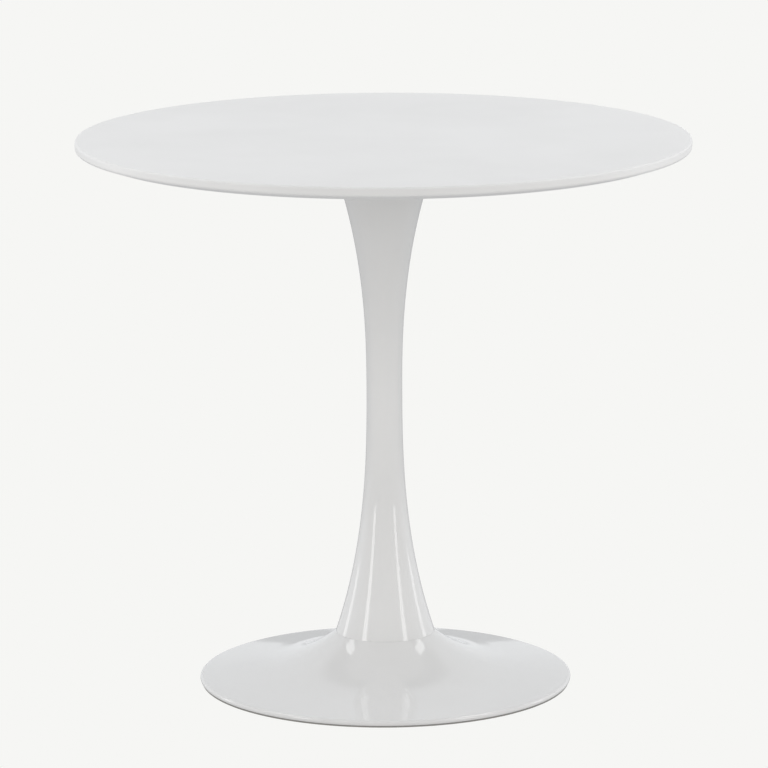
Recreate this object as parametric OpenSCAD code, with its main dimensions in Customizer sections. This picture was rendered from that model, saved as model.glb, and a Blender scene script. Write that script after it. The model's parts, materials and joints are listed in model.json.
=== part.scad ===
// Round pedestal table: a thin disc top on an hourglass column and a trumpet base.
// One central tie rod clamps the mounting plate, the column, the base shell and the
// ballast together. The origin is on the floor, on the table's axis, and +Z is up.

/* [Table] */
// Height of the top surface above the floor
table_h = 726; // [600:1:900]
// Height of the seam between the column and the base
seam_h = 67; // [55:1:90]

/* [Tabletop] */
// Diameter of the tabletop
top_d = 800; // [600:5:1000]
// Thickness of the board
top_t = 18; // [16:1:30]
// Radius of the edge's upper round
edge_upper_r = 3; // [1:0.5:4]
// Height of the edge's straight band
edge_band_h = 5.5; // [3:0.5:6]
// Radius of the edge's lower round
edge_lower_r = 4; // [2:0.5:5]
// Angle of the bevel that runs back under the edge
edge_bevel_angle = 18; // [10:1:40]

/* [Column] */
// Wall of the column shell
column_wall = 2; // [1.5:0.1:4]
// Radius of the waist
waist_r = 23.4; // [20:0.1:32]
// Height of the waist above the floor
waist_h = 395; // [300:1:450]
// Radius of the head, where it meets the mounting plate
head_r = 70; // [60:0.5:90]
// Radius of the foot, where it meets the base
foot_r = 65.3; // [54:0.1:80]
// How late the head flares: 1 is a straight cone
head_flare = 2.4; // [1.5:0.1:4]
// How late the foot flares: 1 is a straight cone
foot_flare = 2.6; // [1.5:0.1:4]

/* [Base] */
// Diameter of the base over its rolled rim
base_d = 490; // [400:5:620]
// Wall of the base shell
base_wall = 2; // [1.5:0.1:3]
// Outer radius of the rolled rim
rim_roll_r = 3.8; // [3:0.1:6]
// Height of the rolled rim's underside above the floor
rim_clear_h = 2.2; // [1.5:0.1:4]
// Width of the flat return that the rim turns in to
rim_return_w = 19; // [10:0.5:25]
// Slope of the shallow dish
dish_slope = 0.14; // [0.10:0.01:0.25]
// Radius where the dish starts to sweep up to the neck
sweep_r = 185; // [150:1:195]
// How late the sweep steepens
sweep_flare = 2.6; // [2:0.1:4]
// Width of the flange that the neck turns in to, under the column
neck_flange_w = 13; // [8:0.5:18]

/* [Mounting plate] */
// Diameter of the mounting plate
plate_d = 280; // [200:5:400]
// Thickness of the mounting plate
plate_t = 4; // [3:0.5:8]
// Number of screws into the top
plate_screws = 8; // [4:1:12]
// Distance from the plate's edge to its screws
plate_screw_inset = 20; // [12:1:30]
// Bore of the ring welded inside the column's mouth
mouth_bore_r = 45; // [38:0.5:52]
// Height of the ring welded inside the column's mouth
mouth_ring_h = 6; // [4:0.5:10]
// Wall of the plate's locating ring
locating_ring_wall = 6; // [4:0.5:8]
// Height of the plate's locating ring
locating_ring_h = 8; // [5:0.5:12]

/* [Screws into the top] */
// Diameter of the screws
top_screw_d = 6; // [4:0.5:8]
// Length of the screws
top_screw_l = 16; // [12:1:20]
// Outer diameter of the threaded inserts
insert_d = 9; // [8:0.5:12]
// Length of the threaded inserts
insert_l = 12; // [8:0.5:13]

/* [Tie rod] */
// Diameter of the rod
rod_d = 12; // [10:0.5:16]
// Size across flats of its nuts
rod_nut_af = 19; // [17:0.5:24]
// Height of its nuts
rod_nut_h = 10; // [8:0.5:14]
// Diameter of the clamp washer
clamp_washer_d = 36; // [30:1:44]
// Thickness of the clamp washer and of the spring washer
clamp_washer_t = 3; // [2:0.5:4]
// Thickness of the discs that centre the column on the base
collar_t = 6; // [4:0.5:10]
// Diameter of the spigot between those discs
spigot_d = 29.6; // [24:0.1:34]
// Height of the spigot above the seam
spigot_h = 4; // [2:0.5:5]

/* [Ballast and bottom plate] */
// Distance from the glides' nuts to the ballast's edge
ballast_inset = 32; // [10:1:50]
// Thickness of the ballast's flange
ballast_t = 18; // [14:0.5:26]
// Radius of the ballast's boss
boss_r = 42; // [36:0.5:48]
// Radius of the pocket for the rod's lower nut
pocket_r = 30; // [24:0.5:32]
// Depth of that pocket
pocket_depth = 20; // [18:0.5:24]
// Height of the bottom plate's underside above the floor
bottom_plate_h = 5; // [4.5:0.1:7]
// Thickness of the bottom plate
bottom_plate_t = 3; // [2:0.5:4]
// Radius of the bottom plate's access hole
access_r = 28; // [20:0.5:30]
// Number of screws from the bottom plate into the ballast
bottom_screws = 6; // [3:1:8]
// Distance from the ballast's edge to those screws
bottom_screw_inset = 40; // [15:1:50]
// Diameter of those screws
bottom_screw_d = 6; // [4:0.5:8]
// Length of those screws
bottom_screw_l = 12; // [8:0.5:16]

/* [Rim trim] */
// Height of the trim's underside above the floor
trim_clear_h = 0.6; // [0.4:0.1:1]
// How far the trim's edge stands back under the rim
trim_setback = 2; // [1:0.5:4]
// Thickness of the trim's back and of its upper lip
trim_lip_t = 1.2; // [1:0.1:2]
// Grip of the trim's upper lip over the rim's return
trim_grip_w = 4; // [2:0.5:6]

/* [Levelling glides] */
// Number of glides
glides = 4; // [3:1:6]
// Diameter of a glide's foot
pad_d = 28; // [20:1:34]
// Height of a glide's foot
pad_h = 3; // [2.5:0.1:3.4]
// Size across flats of the hexagon that turns the stud
stud_af = 17; // [13:0.5:20]
// Diameter of a glide's thread
stud_d = 8; // [6:0.5:10]
// Size across flats of the weld nut
glide_nut_af = 13; // [12.5:0.5:17]
// Height of the weld nut above the bottom plate
glide_nut_h = 5; // [4:0.5:7]

/* [Fits] */
// Radial clearance of a thread in its nut
thread_clear = 0.05; // [0.02:0.01:0.1]
// Radial clearance of a bolt in a drilled hole
hole_clear = 0.5; // [0.2:0.1:1]
// Radial clearance of a spigot, an insert or a pressed part
seat_clear = 0.1; // [0.05:0.05:0.2]
// Gap between the shells and what lies inside them
shell_clear = 1; // [0.5:0.1:2]
// Gap above a glide's hexagon when it is screwed right in
glide_stop_clear = 0.3; // [0.2:0.1:0.6]
// Gap between a glide's foot and the stud that turns in it
swivel_clear = 0.1; // [0.05:0.05:0.2]

/* [Hidden] */
$fn = 96;
HEX = 6;
CURVE_STEPS = 20;
ARC_STEPS = 6;
CUT = 1;

top_r = top_d / 2;
base_r = base_d / 2;
rod_r = rod_d / 2;
rod_hole_r = rod_r + hole_clear;

// Heights of the faces that the parts share
top_underside_h = table_h - top_t;
head_h = top_underside_h - plate_t;
bottom_plate_top_h = bottom_plate_h + bottom_plate_t;

// Column: radius and slope at a height
function flare(low, high, share, power) = low + (high - low) * pow(share, power);
function flare_slope(low, high, share, power, span) = power * (high - low) / span * pow(share, power - 1);
function column_r(h) = h > waist_h
    ? flare(waist_r, head_r, (h - waist_h) / (head_h - waist_h), head_flare)
    : flare(waist_r, foot_r, (waist_h - h) / (waist_h - seam_h), foot_flare);
function column_slope(h) = h > waist_h
    ? flare_slope(waist_r, head_r, (h - waist_h) / (head_h - waist_h), head_flare, head_h - waist_h)
    : flare_slope(waist_r, foot_r, (waist_h - h) / (waist_h - seam_h), foot_flare, waist_h - seam_h);
function column_inner_r(h) = column_r(h) - column_wall * sqrt(1 + pow(column_slope(h), 2));

// Base: height and slope at a radius. The dish leaves the rolled rim as a tangent.
dish_normal_angle = 90 - atan(dish_slope);
rim_centre_r = base_r - rim_roll_r;
rim_centre_h = rim_clear_h + rim_roll_r;
dish_edge_r = rim_centre_r + rim_roll_r * cos(dish_normal_angle);
dish_edge_h = rim_centre_h + rim_roll_r * sin(dish_normal_angle);
sweep_rise = seam_h - dish_edge_h - dish_slope * (dish_edge_r - foot_r);
function sweep_share(r) = max(0, sweep_r - r) / (sweep_r - foot_r);
function base_h(r) =
    dish_edge_h + dish_slope * (dish_edge_r - r) + sweep_rise * pow(sweep_share(r), sweep_flare);
function base_slope(r) =
    dish_slope + sweep_rise * sweep_flare / (sweep_r - foot_r) * pow(sweep_share(r), sweep_flare - 1);
function base_depth_h(r, depth) = base_h(r) - depth * sqrt(1 + pow(base_slope(r), 2));
neck_flange_underside_h = base_depth_h(foot_r, base_wall);
neck_hole_r = foot_r - neck_flange_w;
rim_return_r = rim_centre_r - rim_return_w;

// Radius where the dish's inner wall is at a height, less the clearance to the shell
dish_wall_h = base_wall * sqrt(1 + pow(dish_slope, 2));
function dish_reach_r(h) = dish_edge_r - (h + shell_clear + dish_wall_h - dish_edge_h) / dish_slope;

// Discs that centre the column on the base
base_collar_underside_h = neck_flange_underside_h - collar_t;
base_collar_r = foot_r - seat_clear;
spigot_hole_r = spigot_d / 2 + seat_clear;

// Ballast: it clears the shell all over
ballast_depth = base_wall + shell_clear;
pocket_top_h = bottom_plate_top_h + pocket_depth;

// Lower clamp
clamp_washer_h = pocket_top_h - clamp_washer_t;
spring_washer_h = clamp_washer_h - clamp_washer_t;
lower_nut_h = spring_washer_h - rod_nut_h;
rod_end_proud = 1.2;
rod_lower_h = lower_nut_h - rod_end_proud;
rod_upper_h = head_h - 1;
spring_washer_wall = 4;
spring_washer_split = 2;
spring_washer_r = rod_r + thread_clear + spring_washer_wall;

// Fasteners under the top
plate_screw_circle_r = plate_d / 2 - plate_screw_inset;
top_screw_r = top_screw_d / 2;
top_washer_r = top_screw_d;
top_washer_t = 1.6;
top_washer_h = head_h - top_washer_t;
top_screw_head_r = top_screw_d * 0.9;
top_screw_head_h = 3.3;
top_screw_socket_r = 2;
insert_hole_depth = insert_l + 1;

// Countersunk screws from the bottom plate into the ballast
bottom_screw_r = bottom_screw_d / 2;
bottom_screw_head_r = bottom_screw_d * 0.92;
bottom_screw_head_h = bottom_screw_head_r - bottom_screw_r;
bottom_screw_socket_r = 2;
bottom_screw_hole_h = bottom_plate_h + bottom_screw_l + 1;

// Rubber trim
trim_inner_r = rim_return_r - seat_clear - trim_lip_t;
trim_outer_r = base_r - trim_setback;
trim_lip_underside_h = rim_clear_h + base_wall + seat_clear;

// Levelling glides: the circle is as far out as the dish leaves room for the nut
stud_r = stud_d / 2;
pad_r = pad_d / 2;
stud_hex_h = pad_h + swivel_clear;
stud_hex_top_h = bottom_plate_h - glide_stop_clear;
pad_chamfer = 0.8;
glide_nut_top_h = bottom_plate_top_h + glide_nut_h;
glide_nut_corner_r = glide_nut_af / 2 / cos(180 / HEX);
glide_pilot_r = stud_r + thread_clear + 1.8;
glide_circle_r = dish_reach_r(glide_nut_top_h) - glide_nut_corner_r;
glide_start_angle = 45;
pad_socket_floor_h = 1.5;

// Discs that end short of the rim trim and of the glides' nuts
bottom_plate_r = min(dish_reach_r(bottom_plate_top_h), trim_inner_r - shell_clear);
ballast_r = glide_circle_r - glide_nut_corner_r - ballast_inset;
bottom_screw_circle_r = ballast_r - bottom_screw_inset;

// Points of an arc about (r, h), from one angle to another
function arc(r, h, radius, from, to) = [
    for (i = [0 : ARC_STEPS])
        let (a = from + (to - from) * i / ARC_STEPS)
            [r + radius * cos(a), h + radius * sin(a)]
];
// Evenly spaced values from one to another
function steps(from, to) = [for (i = [0 : CURVE_STEPS]) from + (to - from) * i / CURVE_STEPS];
function reversed(list) = [for (i = [len(list) - 1 : -1 : 0]) list[i]];

// A ring standing on a height
module ring(outer_r, bore_r, h, height) {
    difference() {
        bar(outer_r, h, h + height);
        bar(bore_r, h - CUT, h + height + CUT);
    }
}

// A solid hexagon, standing on a height
module hexagon(flats, h, height) {
    translate([0, 0, h])
        cylinder(r = flats / 2 / cos(180 / HEX), h = height, $fn = HEX);
}

module hex_nut(flats, bore_r, h, height) {
    difference() {
        hexagon(flats, h, height);
        bar(bore_r, h - CUT, h + height + CUT);
    }
}

// A round bar, or the cutter of a round bore, from one height to another
module bar(r, from, to) {
    translate([0, 0, from])
        cylinder(r = r, h = to - from);
}

// Copies evenly spaced on a circle
module around(count, circle_r, start_angle = 0) {
    for (i = [0 : count - 1])
        at_place(i, count, circle_r, start_angle)
            children();
}

module at_place(index, count, circle_r, start_angle) {
    rotate([0, 0, start_angle + 360 * index / count])
        translate([circle_r, 0, 0])
            children();
}

module at_glide(number) {
    at_place(number - 1, glides, glide_circle_r, glide_start_angle)
        children();
}

// Board: rounded edge, straight band, lower round, then a bevel back to the underside
module tabletop() {
    upper_h = table_h - edge_upper_r;
    lower_h = upper_h - edge_band_h;
    lower_arc = arc(top_r - edge_lower_r, lower_h, edge_lower_r, 0, edge_bevel_angle - 90);
    bevel_start = lower_arc[len(lower_arc) - 1];
    bevel_end_r = bevel_start[0] - (bevel_start[1] - top_underside_h) / tan(edge_bevel_angle);
    upper_arc = arc(top_r - edge_upper_r, upper_h, edge_upper_r, 90, 0);
    underside = [[bevel_end_r, top_underside_h], [0, top_underside_h]];
    outline = concat([[0, table_h]], upper_arc, lower_arc, underside);
    color("whitesmoke")
        difference() {
            rotate_extrude()
                polygon(outline);
            around(plate_screws, plate_screw_circle_r)
                bar(insert_d / 2 + seat_clear, top_underside_h - CUT, top_underside_h + insert_hole_depth);
        }
}

module threaded_inserts() {
    color("goldenrod")
        around(plate_screws, plate_screw_circle_r)
            ring(insert_d / 2, top_screw_r + thread_clear, top_underside_h, insert_l);
}

module mounting_plate() {
    color("gainsboro")
        difference() {
            bar(plate_d / 2, head_h, top_underside_h);
            around(plate_screws, plate_screw_circle_r)
                bar(top_screw_r + hole_clear, head_h - CUT, top_underside_h + CUT);
        }
}

module plate_locating_ring() {
    outer_r = mouth_bore_r - 2 * seat_clear;
    color("silver")
        ring(outer_r, outer_r - locating_ring_wall, head_h - locating_ring_h, locating_ring_h);
}

module plate_weld_nut() {
    color("silver")
        hex_nut(rod_nut_af, rod_r + thread_clear, head_h - rod_nut_h, rod_nut_h);
}

module plate_washers() {
    color("silver")
        around(plate_screws, plate_screw_circle_r)
            ring(top_washer_r, top_screw_r + seat_clear, top_washer_h, top_washer_t);
}

// Button-head screws with a hexagon socket, driven from below
module plate_screws() {
    color("dimgray")
        around(plate_screws, plate_screw_circle_r)
            difference() {
                union() {
                    bar(top_screw_r, top_washer_h, top_washer_h + top_screw_l);
                    translate([0, 0, top_washer_h - top_screw_head_h])
                        cylinder(r1 = top_screw_head_r * 0.7, r2 = top_screw_head_r, h = top_screw_head_h);
                }
                translate([0, 0, top_washer_h - top_screw_head_h - CUT])
                    cylinder(r = top_screw_socket_r, h = top_screw_head_h * 0.6 + CUT, $fn = HEX);
            }
}

module column_shell() {
    above_waist = steps(waist_h, head_h);
    heights = concat(steps(seam_h, waist_h), [for (i = [1 : CURVE_STEPS]) above_waist[i]]);
    outer = [for (h = heights) [column_r(h), h]];
    inner = [for (h = reversed(heights)) [column_inner_r(h), h]];
    color("white")
        rotate_extrude()
            polygon(concat(outer, inner));
}

// Disc or ring that follows the column's inner wall between two heights
module column_liner(from, to, bore_r) {
    color("silver")
        rotate_extrude()
            polygon([
                [bore_r, from],
                [column_inner_r(from) - seat_clear, from],
                [column_inner_r(to) - seat_clear, to],
                [bore_r, to]
            ]);
}

module column_top_collar() {
    column_liner(head_h - mouth_ring_h, head_h, mouth_bore_r);
}

module column_foot_collar() {
    column_liner(seam_h, seam_h + collar_t, spigot_hole_r);
}

module tie_rod() {
    color("silver")
        bar(rod_r, rod_lower_h, rod_upper_h);
}

// Neck flange, sweep, dish, rolled rim and flat return, all one wall thick
module base_shell() {
    radii = steps(foot_r, sweep_r);
    outer = concat(
        [for (r = radii) [r, base_h(r)]],
        arc(rim_centre_r, rim_centre_h, rim_roll_r, dish_normal_angle, -90)
    );
    inner = concat(
        arc(rim_centre_r, rim_centre_h, rim_roll_r - base_wall, -90, dish_normal_angle),
        [for (r = reversed(radii)) [r, base_depth_h(r, base_wall)]]
    );
    color("white")
        rotate_extrude()
            polygon(concat(
                [[neck_hole_r, seam_h]],
                outer,
                [[rim_return_r, rim_clear_h], [rim_return_r, rim_clear_h + base_wall]],
                inner,
                [[neck_hole_r, neck_flange_underside_h]]
            ));
}

// Disc under the neck flange, a land that fills the flange's hole, and the column's spigot
module base_collar() {
    land_r = neck_hole_r - seat_clear;
    color("silver")
        rotate_extrude()
            polygon([
                [rod_hole_r, base_collar_underside_h],
                [base_collar_r, base_collar_underside_h],
                [base_collar_r, neck_flange_underside_h],
                [land_r, neck_flange_underside_h],
                [land_r, seam_h],
                [spigot_d / 2, seam_h],
                [spigot_d / 2, seam_h + spigot_h],
                [rod_hole_r, seam_h + spigot_h]
            ]);
}

// Iron casting: a flange that follows the dish, and a boss up to the base collar
module ballast() {
    flange_top_h = bottom_plate_top_h + ballast_t;
    edge = [for (r = steps(boss_r, ballast_r)) [r, min(flange_top_h, base_depth_h(r, ballast_depth))]];
    color("dimgray")
        difference() {
            rotate_extrude()
                polygon(concat(
                    [[rod_hole_r, base_collar_underside_h], [boss_r, base_collar_underside_h]],
                    edge,
                    [
                        [ballast_r, bottom_plate_top_h],
                        [pocket_r, bottom_plate_top_h],
                        [pocket_r, pocket_top_h],
                        [rod_hole_r, pocket_top_h]
                    ]
                ));
            around(bottom_screws, bottom_screw_circle_r)
                bar(bottom_screw_r + thread_clear, bottom_plate_top_h - CUT, bottom_screw_hole_h);
        }
}

module bottom_plate() {
    color("gray")
        difference() {
            ring(bottom_plate_r, access_r, bottom_plate_h, bottom_plate_t);
            around(bottom_screws, bottom_screw_circle_r) {
                bar(bottom_screw_r + seat_clear, bottom_plate_h - CUT, bottom_plate_top_h + CUT);
                countersink(seat_clear);
            }
            around(glides, glide_circle_r, glide_start_angle)
                bar(glide_pilot_r + seat_clear, bottom_plate_h - CUT, bottom_plate_top_h + CUT);
        }
}

// Cone of a countersunk head, flush with the bottom plate's underside
module countersink(clearance) {
    wide_r = bottom_screw_head_r + clearance;
    narrow_r = bottom_screw_r + clearance;
    translate([0, 0, bottom_plate_h])
        cylinder(r1 = wide_r, r2 = narrow_r, h = bottom_screw_head_h);
}

module bottom_plate_screws() {
    color("silver")
        around(bottom_screws, bottom_screw_circle_r)
            difference() {
                union() {
                    bar(bottom_screw_r, bottom_plate_h, bottom_plate_h + bottom_screw_l);
                    countersink(0);
                }
                translate([0, 0, bottom_plate_h - CUT])
                    cylinder(r = bottom_screw_socket_r, h = bottom_screw_head_h + CUT, $fn = HEX);
            }
}

module clamp_washer() {
    color("silver")
        ring(clamp_washer_d / 2, rod_hole_r, clamp_washer_h, clamp_washer_t);
}

// Pressed flat, with its split open
module spring_washer() {
    color("silver")
        difference() {
            ring(spring_washer_r, rod_r + thread_clear, spring_washer_h, clamp_washer_t);
            translate([0, -spring_washer_split / 2, spring_washer_h - CUT])
                cube([spring_washer_r + CUT, spring_washer_split, clamp_washer_t + 2 * CUT]);
        }
}

module tie_rod_nut() {
    color("silver")
        hex_nut(rod_nut_af, rod_r + thread_clear, lower_nut_h, rod_nut_h);
}

// C-section that clips over the rim's return: its lower leg is the dark line at the floor
module rim_trim() {
    color("#3a3a3a")
        rotate_extrude()
            polygon([
                [trim_inner_r, trim_clear_h],
                [trim_outer_r, trim_clear_h],
                [trim_outer_r, rim_clear_h],
                [rim_return_r - seat_clear, rim_clear_h],
                [rim_return_r - seat_clear, trim_lip_underside_h],
                [rim_return_r + trim_grip_w, trim_lip_underside_h],
                [rim_return_r + trim_grip_w, trim_lip_underside_h + trim_lip_t],
                [trim_inner_r, trim_lip_underside_h + trim_lip_t]
            ]);
}

// Hexagon weld nuts whose round pilots fill the bottom plate's holes
module glide_nuts() {
    color("silver")
        around(glides, glide_circle_r, glide_start_angle)
            difference() {
                union() {
                    hexagon(glide_nut_af, bottom_plate_top_h, glide_nut_h);
                    bar(glide_pilot_r, bottom_plate_h, bottom_plate_top_h);
                }
                bar(stud_r + thread_clear, bottom_plate_h - CUT, glide_nut_top_h + CUT);
            }
}

// Round nylon foot with a blind socket, in which the stud turns
module glide_pad(number) {
    color("#2b2b2b")
        at_glide(number)
            difference() {
                union() {
                    cylinder(r1 = pad_r - pad_chamfer, r2 = pad_r, h = pad_chamfer);
                    bar(pad_r, pad_chamfer, pad_h);
                }
                bar(stud_r + thread_clear, pad_socket_floor_h, pad_h + CUT);
            }
}

// Threaded stud with a hexagon that a spanner turns
module glide_stud(number) {
    color("silver")
        at_glide(number) {
            bar(stud_r, pad_socket_floor_h + swivel_clear, glide_nut_top_h);
            hexagon(stud_af, stud_hex_h, stud_hex_top_h - stud_hex_h);
        }
}

tabletop();
threaded_inserts();
mounting_plate();
plate_locating_ring();
plate_weld_nut();
plate_washers();
plate_screws();
column_shell();
column_top_collar();
column_foot_collar();
tie_rod();
base_shell();
base_collar();
ballast();
bottom_plate();
bottom_plate_screws();
clamp_washer();
spring_washer();
tie_rod_nut();
rim_trim();
glide_nuts();
for (i = [1 : glides]) {
    glide_pad(i);
    glide_stud(i);
}
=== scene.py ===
"""Looks of a round pedestal table: a lacquered disc top on an hourglass column and a trumpet base.

Sizes are in metres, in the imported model's frame: +Z is up, and the origin is on the floor on the table's
axis. The sizes that shape a piece are the part source's own; its heights and places are read from the
frame.
"""

import functools
import json
import logging
import math
from dataclasses import dataclass, field
from enum import Enum
from typing import Sequence

import bmesh
import bpy
from mathutils import Matrix, Vector

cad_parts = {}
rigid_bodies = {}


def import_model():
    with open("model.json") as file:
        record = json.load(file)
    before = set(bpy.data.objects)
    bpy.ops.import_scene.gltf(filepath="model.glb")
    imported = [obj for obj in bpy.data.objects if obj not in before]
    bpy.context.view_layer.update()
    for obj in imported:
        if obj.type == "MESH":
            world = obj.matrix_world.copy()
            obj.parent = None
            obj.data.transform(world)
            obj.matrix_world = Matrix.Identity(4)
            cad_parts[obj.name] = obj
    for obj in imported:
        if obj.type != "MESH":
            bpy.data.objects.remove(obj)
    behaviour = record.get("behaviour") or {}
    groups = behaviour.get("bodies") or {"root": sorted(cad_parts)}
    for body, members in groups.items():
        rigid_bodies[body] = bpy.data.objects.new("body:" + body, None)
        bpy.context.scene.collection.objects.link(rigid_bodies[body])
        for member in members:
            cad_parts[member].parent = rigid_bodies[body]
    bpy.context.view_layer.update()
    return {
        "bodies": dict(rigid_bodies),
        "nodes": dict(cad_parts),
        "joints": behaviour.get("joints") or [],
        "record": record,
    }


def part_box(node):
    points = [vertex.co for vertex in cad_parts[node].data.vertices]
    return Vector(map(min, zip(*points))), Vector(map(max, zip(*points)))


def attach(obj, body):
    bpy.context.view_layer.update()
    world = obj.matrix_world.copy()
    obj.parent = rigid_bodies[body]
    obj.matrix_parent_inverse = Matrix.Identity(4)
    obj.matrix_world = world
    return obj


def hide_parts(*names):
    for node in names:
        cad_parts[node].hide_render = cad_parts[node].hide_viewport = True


LOG = logging.getLogger("pedestal_table")
MM = 0.001
MM_IN_METRE = 1000
FRAME_BODY = "table_frame"
GLIDE_NUMBERS = (1, 2, 3, 4)
HEX_STEP = math.pi / 3
NUT_CONE = math.radians(30)
SHARP_ANGLE = math.radians(28)
BEVEL_ANGLE = math.radians(30)
WELD_DISTANCE = 0.002 * MM
POLE_WELD_DISTANCE = 0.001 * MM
THREAD_DEPTH_PER_PITCH = 0.61
THREAD_ROWS_PER_TURN = 6
SCREW_TIP = 0.6 * MM
SHELL_WALL = 2 * MM
SHELL_EDGE_ROUND = 0.35 * MM
COLUMN_FOOT_RADIUS = 65.3 * MM
TOP_SCREWS = 8
TOP_SCREW_CIRCLE = 120 * MM
CONE_PARTS = (0.25, 0.5, 0.75, 1.0)
PATCH_EDGES = (0.35, 0.65)

Tree = bpy.types.NodeTree
Socket = bpy.types.NodeSocket
Piece = bpy.types.Object
Point = tuple[float, float]
Corner = tuple[float, float, float]


# -----------------------------------------------------------------------------
# Nodes and colours
# -----------------------------------------------------------------------------


def linear(hex_colour: str) -> tuple[float, float, float, float]:
    """Turns an sRGB colour into the linear one that a socket holds.

    Args:
        hex_colour: Six hexadecimal digits after a hash.

    Returns:
        Red, green, blue and a full alpha.
    """
    channels = [int(hex_colour[start : start + 2], 16) / 255 for start in (1, 3, 5)]
    red, green, blue = (c / 12.92 if c <= 0.04045 else ((c + 0.055) / 1.055) ** 2.4 for c in channels)
    return red, green, blue, 1.0


def feed(entry: Socket, value: object) -> None:
    """Links a node's input to a socket or a term, or sets it to a value. None leaves it as it is."""
    if isinstance(value, Term):
        value = value.socket
    if isinstance(value, Socket):
        entry.id_data.links.new(value, entry)
    elif value is not None:
        entry.default_value = value


def add_node(tree: Tree, kind: str, inputs: dict | Sequence = (), **settings: object) -> bpy.types.Node:
    """Adds a node with its settings, values and links.

    Args:
        tree: The tree that it goes into.
        kind: Blender's name for the node.
        inputs: What to feed its inputs with, by their names or in order.
        settings: Properties of the node.

    Returns:
        The new node.
    """
    node = tree.nodes.new(kind)
    for name, value in settings.items():
        setattr(node, name, value)
    for key, value in inputs.items() if isinstance(inputs, dict) else enumerate(inputs):
        feed(node.inputs[key], value)
    return node


class Term:
    """A number in a node tree. Arithmetic with it adds the math nodes that work the result out."""

    def __init__(self, socket: Socket) -> None:
        """Wraps the output that holds the number."""
        self.socket = socket

    def calc(self, operation: str, *others: object) -> "Term":
        """Adds a math node, by Blender's name for the operation, with this term as its first input."""
        inputs = (self, *others)
        return Term(add_node(self.socket.id_data, "ShaderNodeMath", inputs, operation=operation).outputs[0])

    def choose(self, when_one: "Term", when_zero: "Term") -> "Term":
        """Gives the first value where this term is 1, and the second where it is 0."""
        return self * (when_one - when_zero) + when_zero

    def ramp(
        self, start: float, end: float, low: object = 0.0, high: object = 1.0, curve: str = "LINEAR"
    ) -> "Term":
        """Carries the term from one range to another, and stops it at the ends.

        Args:
            start: Where the term's range starts.
            end: Where it ends.
            low: The result at the start.
            high: The result at the end.
            curve: Blender's name for the way between them.

        Returns:
            The result.
        """
        inputs = (self, start, end, low, high)
        node = add_node(self.socket.id_data, "ShaderNodeMapRange", inputs, interpolation_type=curve)
        return Term(node.outputs[0])

    __add__ = __radd__ = functools.partialmethod(calc, "ADD")
    __sub__ = functools.partialmethod(calc, "SUBTRACT")
    __rsub__ = functools.partialmethod(calc, "MULTIPLY_ADD", -1.0)
    __mul__ = __rmul__ = functools.partialmethod(calc, "MULTIPLY")
    __truediv__ = functools.partialmethod(calc, "DIVIDE")
    __mod__ = functools.partialmethod(calc, "MODULO")
    __pow__ = functools.partialmethod(calc, "POWER")
    __gt__ = functools.partialmethod(calc, "GREATER_THAN")
    __lt__ = functools.partialmethod(calc, "LESS_THAN")
    __abs__ = functools.partialmethod(calc, "ABSOLUTE")


# -----------------------------------------------------------------------------
# Finishes
# -----------------------------------------------------------------------------


class Relief(Enum):
    """The fine relief that the making of a surface leaves: the node that draws it, and its settings."""

    SPRAYED = ("ShaderNodeTexNoise", {"Detail": 1.0, "Roughness": 0.4})
    PEBBLED = ("ShaderNodeTexVoronoi", {"Randomness": 1.0})
    CAST = ("ShaderNodeTexNoise", {"Detail": 6.0, "Roughness": 0.65})
    MOULDED = ("ShaderNodeTexNoise", {"Detail": 3.0, "Roughness": 0.5})


@dataclass(frozen=True)
class Finish:
    """One real surface: its colour, its gloss, and the relief that its making leaves."""

    name: str
    colour: str
    patch_colour: str
    patch_mm: float
    roughness: float
    patch_roughness: float
    relief: Relief
    grain_mm: float
    depth_mm: float
    metallic: float = 0.0
    ior: float = 1.5
    specular: float = 0.5

    @functools.cache
    def material(self) -> bpy.types.Material:
        """Builds the finish once, and gives the same material after that."""
        made = bpy.data.materials.new(self.name)
        made.use_nodes = True
        tree = made.node_tree
        place = add_node(tree, "ShaderNodeTexCoord").outputs["Object"]
        cloud = {"Vector": place, "Scale": MM_IN_METRE / self.patch_mm, "Detail": 3.0}
        spread = Term(add_node(tree, "ShaderNodeTexNoise", cloud).outputs[0]).ramp(*PATCH_EDGES)
        colours = {0: spread, 6: linear(self.colour), 7: linear(self.patch_colour)}
        kind, settings = self.relief.value
        texture = {"Vector": place, "Scale": MM_IN_METRE / self.grain_mm, **settings}
        grain = add_node(tree, kind, texture).outputs[0]
        bumps = {"Strength": 1.0, "Distance": self.depth_mm * MM, "Height": grain}
        surface = {
            "Base Color": add_node(tree, "ShaderNodeMix", colours, data_type="RGBA").outputs[2],
            "Roughness": spread.ramp(0.0, 1.0, self.roughness, self.patch_roughness),
            "Normal": add_node(tree, "ShaderNodeBump", bumps).outputs[0],
            "Metallic": self.metallic,
            "IOR": self.ior,
            "Specular IOR Level": self.specular,
        }
        for name, value in surface.items():
            feed(tree.nodes["Principled BSDF"].inputs[name], value)
        return made


# Satin lacquer sprayed on board: soft sheen, almost no orange peel.
SATIN_LACQUER = Finish(
    "sprayed_satin_lacquer", "#eaeaea", "#e8e8e8", 160, 0.38, 0.44, Relief.SPRAYED, 5.0, 0.004, specular=0.3
)
# Gloss lacquer sprayed on steel and polished: clear reflections with a faint orange peel. The real peel is
# about 2 mm across, drawn 6 mm so that it shows.
GLOSS_LACQUER = Finish(
    "polished_gloss_lacquer", "#e4e4e4", "#e2e2e2", 140, 0.03, 0.04, Relief.SPRAYED, 6.0, 0.0015
)
# Pale polyester powder coat, baked on the mounting plate: a fine, even pebble.
PALE_POWDER = Finish(
    "pale_powder_coat", "#d8d8d6", "#d2d2d0", 60, 0.5, 0.58, Relief.PEBBLED, 1.6, 0.03
)
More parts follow.
